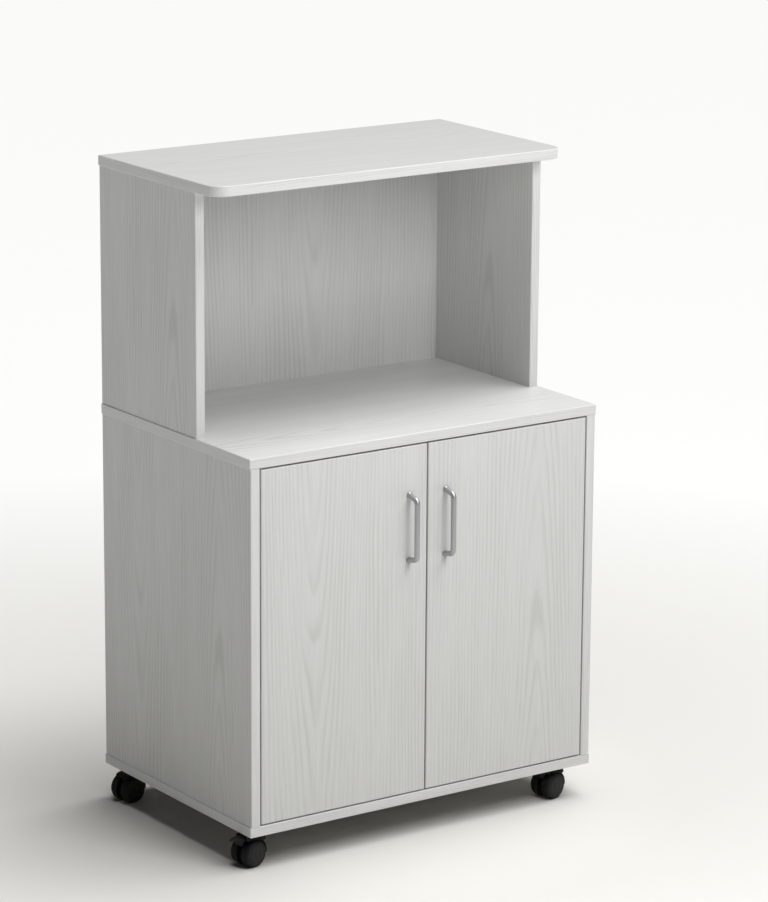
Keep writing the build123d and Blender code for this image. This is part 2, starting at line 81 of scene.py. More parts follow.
# Angle past which an edge of a smooth surface stays sharp
CREASE = radians(38)

# Grain of each board: the axis along it, the axis across it on the broad faces, and the columns of arches in
# its figure: how far aside each stands, in millimetres from the board's middle, and whether its arches point
# up or to the right (1) or back (-1)
BOARDS = {
    "top_panel": ("X", "Y", ((40, 1),)),
    "worktop": ("X", "Y", ((-120, -1),)),
    "bottom_panel": ("X", "Y", ((-60, 1),)),
    "inner_shelf": ("X", "Y", ((30, -1),)),
    "upper_back": ("Z", "X", ((60, -1), (-160, 1))),
    "lower_left_side": ("Z", "Y", ((97, -1), (-118, 1))),
    "lower_right_side": ("Z", "Y", ((-90, 1), (125, -1))),
    "upper_left_side": ("Z", "Y", ((-70, 1),)),
    "upper_right_side": ("Z", "Y", ((-25, 1),)),
    "left_door": ("Z", "X", ((-51, -1),)),
    "right_door": ("Z", "X", ((57, 1),)),
}


# Surfaces and pieces

def skin(rings, tube=False):
    """Closed skin over an (n, m, 3) array of rings, as points, quads and triangles. Quads join each ring to
    the next and its last point to its first, a fan to the ring's middle closes each end, and all faces turn
    round where the volume comes out negative. A tube has no fans: its last ring is joined to its first."""
    count, around = rings.shape[:2]
    i = np.arange(count if tube else count - 1)[:, None] * around
    on = (i + around) % (count * around)
    j = np.arange(around)[None, :]
    k = (j + 1) % around
    quads = np.stack([i + j, i + k, on + k, on + j], axis=-1).reshape(-1, 4)
    points = rings.reshape(-1, 3)
    fans = np.empty((0, 3), int)
    if not tube:
        points = np.concatenate([points, rings[[0, -1]].mean(axis=1)])
        first, last = (np.full(around, count * around + end) for end in range(2))
        rim = (count - 1) * around
        fans = np.concatenate([np.stack([first, k[0], j[0]], axis=-1),
                               np.stack([last, rim + j[0], rim + k[0]], axis=-1)])
    triangles = np.concatenate([quads[:, [0, 1, 2]], quads[:, [0, 2, 3]], fans])
    a, b, c = (points[triangles[:, corner]] for corner in range(3))
    if np.einsum("ij,ij->", a, np.cross(b, c)) < 0:
        quads, fans = quads[:, ::-1], fans[:, ::-1]
    return points, quads, fans


def turned(profile, centre, axis, around, tube=False):
    """Surface of revolution: each (radius, height) of the profile, in millimetres, goes round the axis."""
    axis = np.asarray(axis, float) / np.linalg.norm(axis)
    across = np.cross(axis, X_WAY if abs(axis[0]) < ALONG_AXIS else Y_WAY)
    across /= np.linalg.norm(across)
    angle = np.linspace(0, 2 * pi, around, endpoint=False)[:, None]
    spokes = np.cos(angle) * across + np.sin(angle) * np.cross(axis, across)
    profile = np.asarray(profile, float) * MM
    radius, height = (profile[:, column, None, None] for column in range(2))
    return skin(np.asarray(centre) + height * axis + radius * spokes, tube)


def superellipse(square, around):
    """Unit outline |a|^square + |b|^square = 1: the cosine and sine of evenly spaced angles, each raised to
    2 / square with its sign kept."""
    angle = np.linspace(0, 2 * pi, around, endpoint=False)
    return [np.sign(wave) * np.abs(wave) ** (2 / square) for wave in (np.cos(angle), np.sin(angle))]


def carried(path, wide, deep, side, square=2.0, around=48):
    """Profile carried along a path: at each point a superellipse stands across the path, with its wide axis
    along the fixed side direction and its deep axis across both."""
    path = np.asarray(path, float)
    tangent = np.gradient(path, axis=0)
    tangent /= np.linalg.norm(tangent, axis=1, keepdims=True)
    side = np.asarray(side, float) / np.linalg.norm(side)
    lift = np.cross(tangent, side)
    a, b = (wave[None, :, None] for wave in superellipse(square, around))
    wide, deep = (np.broadcast_to(half, len(path))[:, None, None] for half in (wide, deep))
    return skin(path[:, None] + wide * a * side + deep * b * lift[:, None])


def plate(outline, centre, wide, high, out, thick, edge=0.4):
    """Flat plate with softened rims: an outline of (a, b) pairs in millimetres, laid along the wide and high
    directions and carried along the third one in four rings, the outer two drawn in by the edge."""
    outline = np.asarray(outline, float)
    inset = outline * (1 - edge / np.abs(outline).max(axis=0))
    rings = np.stack([inset, outline, outline, inset])
    heights = np.array([0, edge, thick - edge, thick])[:, None, None]
    wide, high, out = (np.asarray(way, float) for way in (wide, high, out))
    return skin(np.asarray(centre) + MM * (rings[..., :1] * wide + rings[..., 1:] * high + heights * out))


def oval(wide, high, square, around=96):
    """Outline |a/wide|^square + |b/high|^square = 1 as (a, b) pairs, evenly spread in direction."""
    angle = np.linspace(0, 2 * pi, around, endpoint=False)
    spokes = np.stack([np.cos(angle), np.sin(angle)], -1)
    return spokes / ((np.abs(spokes) / (wide, high)) ** square).sum(axis=1, keepdims=True) ** (1 / square)


def rounded(points, radii, steps=10):
    """Corner points joined by straight runs, each corner swapped for a circular arc that touches both runs:
    the arc's points swing from the first touching point to the second about the middle of the curve."""
    points = np.asarray(points, float)
    route = [points[:1]]
    for before, corner, after, radius in zip(points[:-2], points[1:-1], points[2:], radii):
        back = (before - corner) / np.linalg.norm(before - corner)
        on = (after - corner) / np.linalg.norm(after - corner)
        half = np.arccos(np.clip(back @ on, -1, 1)) / 2
        middle = corner + (back + on) / np.linalg.norm(back + on) * radius / np.sin(half)
        start = corner + back * radius / np.tan(half) - middle
        finish = corner + on * radius / np.tan(half) - middle
        turn = np.linspace(0, 1, steps)[:, None]
        span = pi - 2 * half
        arc = (np.sin((1 - turn) * span) * start + np.sin(turn * span) * finish) / np.sin(span)
        route.append(middle + arc)
    return np.concatenate([*route, points[-1:]])


def make(name, surfaces, material, body, slot, *nodes):
    """Joins surfaces into one smooth object at the origin that rides on a body, has the given material and
    may replace nodes. The slot is not used."""
    points, quads, fans, used = [], [], [], 0
    for surface_points, surface_quads, surface_fans in surfaces:
        points.append(surface_points)
        quads.append(surface_quads + used)
        fans.append(surface_fans + used)
        used += len(surface_points)
    faces = np.concatenate(quads).tolist() + np.concatenate(fans).tolist()
    mesh = bpy.data.meshes.new(name)
    mesh.from_pydata(np.concatenate(points).tolist(), [], faces)
    mesh.polygons.foreach_set("use_smooth", np.ones(len(faces), bool))
    mesh.set_sharp_from_angle(angle=CREASE)
    mesh.update()
    mesh.materials.append(material)
    piece = bpy.data.objects.new(name, mesh)
    bpy.context.scene.collection.objects.link(piece)
    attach(piece, body)
    if nodes:
        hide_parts(*nodes)
    return piece


def dress(node, material):
    """Gives a solid of the frame its material."""
    materials = frame["nodes"][node].data.materials
    materials.clear()
    materials.append(material)


# Materials

def linear(hex_colour):
    """An sRGB hex colour as linear red, green, blue and full alpha."""
    srgb = np.array([int(hex_colour[i:i + 2], 16) for i in (1, 3, 5)]) / 255
    return (*np.where(srgb <= 0.04045, srgb / 12.92, ((srgb + 0.055) / 1.055) ** 2.4), 1.0)


def add(tree, kind, inputs=None, **settings):
    """Adds one node: settings are its properties, and inputs maps its sockets to values, to other nodes'
    outputs, or to other nodes, which are linked by their first output in use. The sockets of a Mix node go by
    number: 0 is its factor, 2 and 3 are its two numbers, 6 and 7 its two colours."""
    node = tree.nodes.new(kind)
    for key, value in settings.items():
        setattr(node, key, value)
    for key, value in (inputs or {}).items():
        if isinstance(value, bpy.types.Node):
            value = next(output for output in value.outputs if output.enabled)
        if isinstance(value, bpy.types.NodeSocket):
            tree.links.new(value, node.inputs[key])
        else:
            node.inputs[key].default_value = value
    return node


def material_tree(name):
    """A material by name, and its emptied node tree."""
    material = bpy.data.materials.get(name) or bpy.data.materials.new(name)
    material.use_nodes = True
    material.node_tree.nodes.clear()
    return material, material.node_tree


def noisy(name, colours, size_mm, roughness, height_mm, stretch=(1, 1, 1), **sockets):
    """Material whose colour and roughness wander between two ends with a noise of a real size in millimetres,
    and whose surface rises and falls with it. More of the shader's sockets are named with _ for a space."""
    material, tree = material_tree(name)
    place = add(tree, "ShaderNodeTexCoord").outputs["Object"]
    place = add(tree, "ShaderNodeMapping", {"Vector": place, "Scale": stretch})
    noise = add(tree, "ShaderNodeTexNoise", {"Vector": place, "Scale": 1 / (size_mm * MM), "Detail": 3.0})
    darker, lighter = (linear(colour) for colour in colours)
    colour = add(tree, "ShaderNodeMix", {0: noise, 6: darker, 7: lighter}, data_type="RGBA")
    # Most of the noise lies between a quarter and three quarters
    rough = add(tree, "ShaderNodeMapRange", {"Value": noise, "From Min": 0.25, "From Max": 0.75,
                                             "To Min": roughness[0], "To Max": roughness[1]})
    bump = add(tree, "ShaderNodeBump", {"Height": noise, "Strength": 1.0, "Distance": height_mm * MM})
    sockets = {key.replace("_", " "): value for key, value in sockets.items()}
    shader = add(tree, "ShaderNodeBsdfPrincipled", {"Base Color": colour, "Roughness": rough, "Normal": bump,
                                                    **sockets})
    add(tree, "ShaderNodeOutputMaterial", {"Surface": shader})
    return material


def melamine_woodgrain(node, look):
    """Printed and pressed wood-grain melamine on particle board, in one board's own figure.

    White melamine gives an even satin sheen; the print shows as faint darker lines along the board, one every
    few millimetres, that close in columns of nested arches, and the press adds pores that break the sheen.
    A line lies where the distance from a point that stands off the nearest column, plus the place along the
    grain times a slope that fades with that distance, plus a slow noise, is a whole number of pitches."""
    grain_axis, cross_axis, columns = BOARDS[node]
    thin_axis = ({"X", "Y", "Z"} - {grain_axis, cross_axis}).pop()
    low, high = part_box(node)
    material, tree = material_tree(f"melamine_woodgrain_{node}")
    spot = add(tree, "ShaderNodeTexCoord").outputs
    place = add(tree, "ShaderNodeVectorMath", {0: spot["Object"], 1: (low + high) / 2}, operation="SUBTRACT")
    place = add(tree, "ShaderNodeSeparateXYZ", {"Vector": place}).outputs
    facing = add(tree, "ShaderNodeVectorMath", {0: spot["Normal"]}, operation="ABSOLUTE")
    facing = add(tree, "ShaderNodeSeparateXYZ", {"Vector": facing}).outputs
    is_end = add(tree, "ShaderNodeMath", {0: facing[grain_axis], 1: ALONG_AXIS}, operation="GREATER_THAN")
    is_broad = add(tree, "ShaderNodeMath", {0: facing[thin_axis], 1: ALONG_AXIS}, operation="GREATER_THAN")
    # On the edging the lines run along the edge, two and a half times as close together
    narrow = add(tree, "ShaderNodeMath", {0: place[thin_axis], 1: 2.5}, operation="MULTIPLY")
    along = add(tree, "ShaderNodeMix", {0: is_end, 2: place[grain_axis], 3: place[cross_axis]})
    across = add(tree, "ShaderNodeMix", {0: is_broad, 2: narrow, 3: place[cross_axis]})
    # Distance from the nearest column, at first one past every board, and which way its arches point
    reach, leans = 1.0, 0.0
    for aside, way in columns:
        beside = add(tree, "ShaderNodeMath", {0: across, 1: aside * MM}, operation="SUBTRACT")
        off = add(tree, "ShaderNodeCombineXYZ", {"X": beside, "Y": look.arch_rounding})
        off = add(tree, "ShaderNodeVectorMath", {0: off}, operation="LENGTH")
        nearer = add(tree, "ShaderNodeMath", {0: off, 1: reach}, operation="LESS_THAN")
        leans = add(tree, "ShaderNodeMix", {0: nearer, 2: leans, 3: float(way)})
        reach = add(tree, "ShaderNodeMath", {0: off, 1: reach}, operation="MINIMUM")
    slope = add(tree, "ShaderNodeMapRange", {"Value": reach, "From Max": look.arch_width,
                                             "To Min": look.taper, "To Max": 0.0},
                interpolation_type="SMOOTHSTEP")
    slope = add(tree, "ShaderNodeMath", {0: slope, 1: leans}, operation="MULTIPLY")
    leaning = add(tree, "ShaderNodeMath", {0: along, 1: slope, 2: reach}, operation="MULTIPLY_ADD")
    # The place that the noises read counts from the middle of the last column
    grain = add(tree, "ShaderNodeCombineXYZ", {"X": beside, "Y": place[thin_axis], "Z": along})
    # The slow noise is about 60 mm across the grain and eight times that along it
    slow = add(tree, "ShaderNodeMapping", {"Vector": grain, "Scale": (1, 1, 0.12)})
    bend = add(tree, "ShaderNodeTexNoise", {"Vector": slow, "Scale": 1 / (60 * MM), "Detail": 2.0})
    figure = add(tree, "ShaderNodeMath", {0: bend, 1: look.wander, 2: leaning}, operation="MULTIPLY_ADD")
    pitches = add(tree, "ShaderNodeMath", {0: figure, 1: look.ring_pitch}, operation="DIVIDE")
    rings = add(tree, "ShaderNodeMath", {0: pitches}, operation="FRACT")
    # Depth of the print over one pitch: it drops at the start, stays pale past the middle and deepens again
    line = add(tree, "ShaderNodeValToRGB", {"Fac": rings})
    stops = line.color_ramp.elements
    stops[0].color, stops[1].color = (0.5, 0.5, 0.5, 1), (0.9, 0.9, 0.9, 1)
    for position, depth in ((0.14, 0.0), (0.55, 0.12), (0.84, 1.0)):
        stops.new(position).color = (depth, depth, depth, 1)
    # Soft bands, about 30 mm wide, make some lines stronger than others
    bands = add(tree, "ShaderNodeTexNoise", {"Vector": slow, "Scale": 1 / (30 * MM), "Detail": 1.0})
    strength = add(tree, "ShaderNodeMapRange", {"Value": bands, "From Min": 0.3, "From Max": 0.7,
                                                "To Min": 0.1, "To Max": 0.9})
    # Pores are 1.6 mm wide here, coarser than real ones, so that they show as fine streaks
    fine = add(tree, "ShaderNodeMapping", {"Vector": grain, "Scale": (1, 1, 0.03)})
    pores = add(tree, "ShaderNodeTexNoise", {"Vector": fine, "Scale": 1 / (1.6 * MM), "Detail": 2.0})
    streaks = add(tree, "ShaderNodeMapRange", {"Value": pores, "From Min": 0.35, "From Max": 0.75,
                                               "To Max": 0.5})
    printed = add(tree, "ShaderNodeMath", {0: line, 1: strength, 2: streaks}, operation="MULTIPLY_ADD")
    edging, white, dark = ((*shade, 1) for shade in (look.edging, look.white, look.grain))
    ground = add(tree, "ShaderNodeMix", {0: is_broad, 6: edging, 7: white}, data_type="RGBA")
    colour = add(tree, "ShaderNodeMix", {0: printed, 6: ground, 7: dark}, data_type="RGBA")
    rough = add(tree, "ShaderNodeMapRange", {"Value": printed, "To Min": 0.42, "To Max": 0.56})
    bump = add(tree, "ShaderNodeBump", {"Height": printed, "Strength": 0.6, "Distance": 0.05 * MM},
               invert=True)
    shader = add(tree, "ShaderNodeBsdfPrincipled", {"Base Color": colour, "Roughness": rough, "Normal": bump,
                                                    "IOR": 1.5})
    add(tree, "ShaderNodeOutputMaterial", {"Surface": shader})
    return material


def painted_hardboard():
    """Pressed hardboard painted white: a slight orange-peel from the roller on its smooth face, and behind,
    under a thinner and duller coat, the weave of the screen that it was pressed on."""
    material, tree = material_tree("painted_hardboard")
    spot = add(tree, "ShaderNodeTexCoord").outputs
    facing = add(tree, "ShaderNodeSeparateXYZ", {"Vector": spot["Normal"]}).outputs["Y"]
    is_rear = add(tree, "ShaderNodeMath", {0: facing, 1: ALONG_AXIS}, operation="GREATER_THAN")
    peel = add(tree, "ShaderNodeTexNoise", {"Vector": spot["Object"], "Scale": 1 / (2.5 * MM), "Detail": 3.0})
    # The wires are 3 mm apart here, about twice as far as real ones, so that they show; a band of the Wave
    # node is pi / 10 wide at a scale of one
    wires = [add(tree, "ShaderNodeTexWave", {"Vector": spot["Object"], "Scale": pi / 10 / (3 * MM)},
                 bands_direction=axis).outputs["Fac"] for axis in ("X", "Z")]
    weave = add(tree, "ShaderNodeMath", {0: wires[0], 1: wires[1]}, operation="MULTIPLY")
    weave = add(tree, "ShaderNodeMath", {0: weave, 1: is_rear}, operation="MULTIPLY")
    height = add(tree, "ShaderNodeMath", {0: peel, 1: 0.25, 2: weave}, operation="MULTIPLY_ADD")
    front = add(tree, "ShaderNodeMix", {0: peel, 6: linear("#D2D2D0"), 7: linear("#D8D8D6")},
                data_type="RGBA")
    rear = add(tree, "ShaderNodeMix", {0: weave, 6: linear("#C2C0B9"), 7: linear("#D3D1CB")},
               data_type="RGBA")
    colour = add(tree, "ShaderNodeMix", {0: is_rear, 6: front, 7: rear}, data_type="RGBA")
    rough = add(tree, "ShaderNodeMix", {0: is_rear, 2: 0.5, 3: 0.7})
    bump = add(tree, "ShaderNodeBump", {"Height": height, "Strength": 1.0, "Distance": 0.12 * MM})
    shader = add(tree, "ShaderNodeBsdfPrincipled", {"Base Color": colour, "Roughness": rough, "Normal": bump,
                                                    "IOR": 1.5})
    add(tree, "ShaderNodeOutputMaterial", {"Surface": shader})
    return material


def turned_beech():
    """Bare beech dowel: pale pinkish brown with short dark flecks along the grain, dry and matt."""
    return noisy("turned_beech", ("#B98F64", "#D2AC80"), size_mm=1.2, roughness=(0.6, 0.75), height_mm=0.05,
                 stretch=(1, 1, 0.12), IOR=1.5)


def satin_plated_steel():
    """Steel bar with satin chrome plate: mid-grey metal, its reflections blurred by polishing along it."""
    # The polishing lines are coarser here than real ones, so that they show from near
    return noisy("satin_plated_steel", ("#A8A8AB", "#B8B8BA"), size_mm=0.6, roughness=(0.40, 0.50),
                 height_mm=0.004, stretch=(1, 1, 0.04), Metallic=1.0)


def nickel_plated_steel():
    """Pressed steel with bright nickel: slightly warm, clear reflections softened by rolling marks."""
    # The rolling marks are coarser here than real ones, so that they show from near
    return noisy("nickel_plated_steel", ("#BDB9B1", "#CBC8C1"), size_mm=0.9, roughness=(0.18, 0.30),
                 height_mm=0.004, stretch=(1, 0.2, 1), Metallic=1.0)


def cast_zinc():
    """Die-cast zinc: dull blue-grey metal with a faint cast skin."""
    return noisy("cast_zinc", ("#8F9499", "#A3A7AB"), size_mm=1.2, roughness=(0.38, 0.52), height_mm=0.02,
                 Metallic=1.0)


def zinc_plated_steel():
    """Stamped steel with bright zinc plate: cool grey, cloudy where the plate crystallised."""
    return noisy("zinc_plated_steel", ("#8C9095", "#A9ACAF"), size_mm=3.0, roughness=(0.28, 0.44),
                 height_mm=0.008, Metallic=1.0)


def moulded_white_abs():
    """ABS moulding, white: even colour with a fine spark-eroded grain that keeps the sheen low."""
    # The grain is coarser here than a real mould's, so that it shows from near
    return noisy("moulded_white_abs", ("#D9D8D3", "#DFDED9"), size_mm=0.5, roughness=(0.42, 0.5),
                 height_mm=0.01, IOR=1.54)


def moulded_black_nylon():
    """Nylon wheels, moulded black: the outer faces keep a satin sheen, and the treads are duller and darker
    in colour."""
    material, tree = material_tree("moulded_black_nylon")
    place = add(tree, "ShaderNodeTexCoord").outputs["Object"]
    # The mould's grain is 1.4 mm here, coarser than a real one, so that it shows from near
    noise = add(tree, "ShaderNodeTexNoise", {"Vector": place, "Scale": 1 / (1.4 * MM), "Detail": 3.0})
    tread = add(tree, "ShaderNodeAttribute", attribute_name="tread").outputs["Fac"]
    face = add(tree, "ShaderNodeMix", {0: noise, 6: linear("#161617"), 7: linear("#1D1D1E")},
               data_type="RGBA")
    # The treads get a darker colour than the outer faces
    tread_colour = add(tree, "ShaderNodeMix", {0: noise, 6: linear("#060606"), 7: linear("#0D0D0D")},
               data_type="RGBA")
    colour = add(tree, "ShaderNodeMix", {0: tread, 6: face, 7: tread_colour}, data_type="RGBA")
    satin = add(tree, "ShaderNodeMapRange", {"Value": noise, "To Min": 0.44, "To Max": 0.58})
    rough = add(tree, "ShaderNodeMix", {0: tread, 2: satin, 3: 0.75})
    bump = add(tree, "ShaderNodeBump", {"Height": noise, "Strength": 1.0, "Distance": 0.015 * MM})
    shader = add(tree, "ShaderNodeBsdfPrincipled", {"Base Color": colour, "Roughness": rough, "Normal": bump,
                                                    "IOR": 1.53, "Specular IOR Level": 0.3})
    add(tree, "ShaderNodeOutputMaterial", {"Surface": shader})
    return material


def moulded_black_polypropylene():
    """Polypropylene hoods and levers, moulded black with a fine grain: softer sheen than the wheels."""
    # The grain is coarser here than a real mould's, so that it shows from near
    return noisy("moulded_black_polypropylene", ("#0B0B0C", "#111112"), size_mm=0.8, roughness=(0.5, 0.62),
                 height_mm=0.012, IOR=1.49, Specular_IOR_Level=0.3)


def matt_pale_floor(near, far):
    """Matt floor paint with a trace of roller texture: pale grey round the cart, so that little light is
    thrown back up at it, and whiter with distance, for an even white background."""
    material, tree = material_tree("matt_pale_floor")
    place = add(tree, "ShaderNodeTexCoord").outputs["Object"]
    # The roller's texture is 35 mm here, coarser than a real one, so that it isn't too fine for the picture
    noise = add(tree, "ShaderNodeTexNoise", {"Vector": place, "Scale": 1 / (35 * MM), "Detail": 2.0})
    rough = add(tree, "ShaderNodeMapRange", {"Value": noise, "To Min": 0.75, "To Max": 0.9})
    # The change of colour starts half a metre from the middle of the floor and ends at two metres
    away = add(tree, "ShaderNodeVectorMath", {0: place}, operation="LENGTH")
    away = add(tree, "ShaderNodeMapRange", {"Value": away, "From Min": 0.5, "From Max": 2.0})
    shade = add(tree, "ShaderNodeMix", {0: away, 6: (*near, 1), 7: (*far, 1)}, data_type="RGBA")
    shader = add(tree, "ShaderNodeBsdfPrincipled", {"Base Color": shade, "Roughness": rough})
    add(tree, "ShaderNodeOutputMaterial", {"Surface": shader})
    return material


# Settings that a user would change

class CartBoardSettings(bpy.types.PropertyGroup):
    """Colours and figure of the boards."""
    white: bpy.props.FloatVectorProperty(
        name="White", description="Ground colour of the melamine", subtype="COLOR", size=3, min=0, max=1,
        default=linear("#D5D5D4")[:3])
    edging: bpy.props.FloatVectorProperty(
        name="Edging", description="Ground colour of the edging, a little whiter than the faces",
        subtype="COLOR", size=3, min=0, max=1, default=linear("#DEDEDD")[:3])
    grain: bpy.props.FloatVectorProperty(
        name="Grain", description="Colour of the printed grain lines", subtype="COLOR", size=3, min=0, max=1,
        default=linear("#C7C7C5")[:3])
    ring_pitch: bpy.props.FloatProperty(
        name="Ring pitch", description="Distance between grain lines across the board", unit="LENGTH",
        default=6.3 * MM)
    wander: bpy.props.FloatProperty(
        name="Wander", description="How far the grain lines bend aside", unit="LENGTH", default=22 * MM)
    taper: bpy.props.FloatProperty(
        name="Taper", description="Slope of the arches' sides against the grain", subtype="FACTOR",
        min=0, max=1, default=0.064)
    arch_rounding: bpy.props.FloatProperty(
        name="Arch rounding", description="How round the tips of the arches are", unit="LENGTH",
        default=24 * MM)
    arch_width: bpy.props.FloatProperty(
        name="Arch width", description="How far aside the arches reach before the lines run straight",
        unit="LENGTH", default=112 * MM)


class CartHandleSettings(bpy.types.PropertyGroup):
    """Shape of the bow handles."""
    bar_radius: bpy.props.FloatProperty(
        name="Bar radius", description="Radius of the round bar", unit="LENGTH", default=4.0 * MM)
    elbow_radius: bpy.props.FloatProperty(
        name="Elbow radius", description="Radius of the bends, at the middle of the bar", unit="LENGTH",
        default=7.5 * MM)
    foot_flare: bpy.props.FloatProperty(
        name="Foot flare", description="How much wider each foot is where it meets the door", unit="LENGTH",
        default=1.1 * MM)
    foot_height: bpy.props.FloatProperty(
        name="Foot height", description="Length of the flare above the door", unit="LENGTH", default=4.0 * MM)
    slant: bpy.props.FloatProperty(
        name="Slant", description="How far the grip's ends lie inside the feet", unit="LENGTH",
        default=4.5 * MM)


class CartCasterSettings(bpy.types.PropertyGroup):
    """Shape of the casters."""
    wheel_radius: bpy.props.FloatProperty(
        name="Wheel radius", description="Radius of the tread", unit="LENGTH",
        default=JOINTS["front_left_left_wheel_spin"]["pos_m"][2])
    shoulder: bpy.props.FloatProperty(
        name="Shoulder", description="Rounding between the tread and the outer face", unit="LENGTH",
        default=4.6 * MM)
    guard_gap: bpy.props.FloatProperty(
        name="Guard gap", description="Gap between the tread and the guard", unit="LENGTH", default=0.8 * MM)
    guard_sheet: bpy.props.FloatProperty(
        name="Guard sheet", description="Thickness of the guard", unit="LENGTH", default=2.0 * MM)
    guard_width: bpy.props.FloatProperty(
        name="Guard width", description="Width of the guard over both wheels", unit="LENGTH",
        default=31.0 * MM)


class CartHingeSettings(bpy.types.PropertyGroup):
    """Shape of the concealed hinges."""
    cup_radius: bpy.props.FloatProperty(
        name="Cup radius", description="Outer radius of the pressed cup", unit="LENGTH", default=17.4 * MM)
    cup_wall: bpy.props.FloatProperty(
        name="Cup wall", description="Thickness of the cup's wall", unit="LENGTH", default=0.85 * MM)
    flange_width: bpy.props.FloatProperty(
        name="Flange width", description="Width of the cup's flange", unit="LENGTH", default=37 * MM)
    flange_height: bpy.props.FloatProperty(
        name="Flange height", description="Height of the cup's flange", unit="LENGTH", default=56 * MM)
    arm_sheet: bpy.props.FloatProperty(
        name="Arm sheet", description="Thickness of the arm's strap", unit="LENGTH", default=2 * MM)
    arm_width: bpy.props.FloatProperty(
        name="Arm width", description="Width of the arm's strap", unit="LENGTH", default=12 * MM)


class CartScrewSettings(bpy.types.PropertyGroup):
    """Size of the screw heads."""
    head_radius: bpy.props.FloatProperty(
        name="Head radius", description="Radius of a pan head", unit="LENGTH", default=3.2 * MM)
    head_height: bpy.props.FloatProperty(
        name="Head height", description="Height of a pan head", unit="LENGTH", default=1.5 * MM)


class CartStageSettings(bpy.types.PropertyGroup):
    """Floor, light and camera."""
    floor: bpy.props.FloatVectorProperty(
        name="Floor", description="Colour of the floor round the cart", subtype="COLOR", size=3, min=0, max=1,
        default=linear("#D2D1CD")[:3])
    far_floor: bpy.props.FloatVectorProperty(
        name="Far floor", description="Colour of the floor far behind the cart", subtype="COLOR", size=3,
        min=0, max=1, default=linear("#F5F5F3")[:3])
    overhead: bpy.props.FloatProperty(
        name="Overhead", description="Strength of the wide soft light from above", default=3.4)
    softbox: bpy.props.FloatProperty(
        name="Softbox", description="Power of the softbox in front", subtype="POWER", unit="POWER",
        default=10.5)
    sky: bpy.props.FloatProperty(
        name="Sky", description="Strength of the even light from all round", default=0.05)
    lens: bpy.props.FloatProperty(
        name="Lens", description="Focal length on a 36 mm sensor", unit="CAMERA", default=155.141)
    eye: bpy.props.FloatVectorProperty(
        name="Eye", description="Where the camera stands", subtype="TRANSLATION", unit="LENGTH", size=3,
        default=(-3.1134, -4.5888, 1.9296))
    heading: bpy.props.FloatProperty(
        name="Heading", description="Turn of the view from straight ahead to the right", unit="ROTATION",
        default=radians(34.6916))
    tilt: bpy.props.FloatProperty(
        name="Tilt", description="How far the view looks down", unit="ROTATION", default=radians(14.1273))
    roll: bpy.props.FloatProperty(
        name="Roll", description="How far the right of the picture is raised", unit="ROTATION",
        default=radians(0.356))


# Operators

class CART_OT_boards(bpy.types.Operator):
    """Gives each board its wood-grain melamine and the lower back its painted hardboard"""
    bl_idname = "cart.boards"
    bl_label = "Boards"

    def execute(self, context):
        for node in BOARDS:
            dress(node, melamine_woodgrain(node, context.scene.cart_boards))
        dress("lower_back", painted_hardboard())
        return {"FINISHED"}


class CART_OT_fittings(bpy.types.Operator):
    """Gives hinge plates, strikes, catch, dowels, cams, caster plates and axles their materials"""
    bl_idname = "cart.fittings"
    bl_label = "Fittings"

    def execute(self, context):
        nickel, zinc, plated = nickel_plated_steel(), cast_zinc(), zinc_plated_steel()
        for side in SIDES:
            dress(f"{side}_hinge_plates", nickel)
            dress(f"{side}_strike_plate", nickel)
        dress("cam_locks", zinc)
        dress("cam_bolts", zinc)
        dress("wood_dowels", turned_beech())
        dress("door_catch", moulded_white_abs())
        dress("caster_plates", plated)
        for caster in CASTERS:
            dress(f"{caster}_caster_axle", plated)
        return {"FINISHED"}


class CART_OT_handles(bpy.types.Operator):
    """Makes the two bow handles: a round bar with round elbows and flared feet on the door"""
    bl_idname = "cart.handles"
    bl_label = "Handles"

    def execute(self, context):
        look = context.scene.cart_handles
        steel = satin_plated_steel()
        for side in SIDES:
            low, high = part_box(f"{side}_handle")
            door_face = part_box(f"{side}_door")[0].y
            x = (low.x + high.x) / 2
            grip_y = low.y + look.bar_radius
            feet = (low.z + look.bar_radius, high.z - look.bar_radius)
            corners = [(x, door_face, feet[0]), (x, grip_y, feet[0] + look.slant),
                       (x, grip_y, feet[1] - look.slant), (x, door_face, feet[1])]
            path = rounded(corners, (look.elbow_radius, look.elbow_radius))
            # More points along the legs, so that the flare of the feet has rings to lie on
            share = np.linspace(0, 1, 9)[:-1, None]
            path = np.concatenate([path[0] + share * (path[1] - path[0]), path[1:-1],
                                   (path[-2] + share * (path[-1] - path[-2]))[1:], path[-1:]])
            # The radius grows towards the door as a quarter wave over the height of the flare
            height = np.clip((door_face - path[:, 1]) / look.foot_height, 0, 1)
            radius = look.bar_radius + look.foot_flare * (1 - np.sin(height * pi / 2))
            # The end rings stand square to the slanted legs; they are set flat on the door
            bar, *faces = carried(path, radius, radius, X_WAY)
            bar[:, 1] = np.minimum(bar[:, 1], door_face)
            make(f"{side}_bow_handle", [(bar, *faces)], steel, f"{side}_door", "satin_steel",
                 f"{side}_handle")
        return {"FINISHED"}


def caster_frame(caster):
    """Foot of a caster's swivel axis, its trailing direction, its axle's direction, and its axle's middle."""
    swivel = np.array(JOINTS[f"{caster}_swivel_turn"]["pos_m"]) * (1, 1, 0)
    spin = JOINTS[f"{caster}_left_wheel_spin"]
    axle = np.array(spin["pos_m"])
    trail = (axle - swivel) * (1, 1, 0)
    return swivel, trail / np.linalg.norm(trail), np.array(spin["axis"]), axle


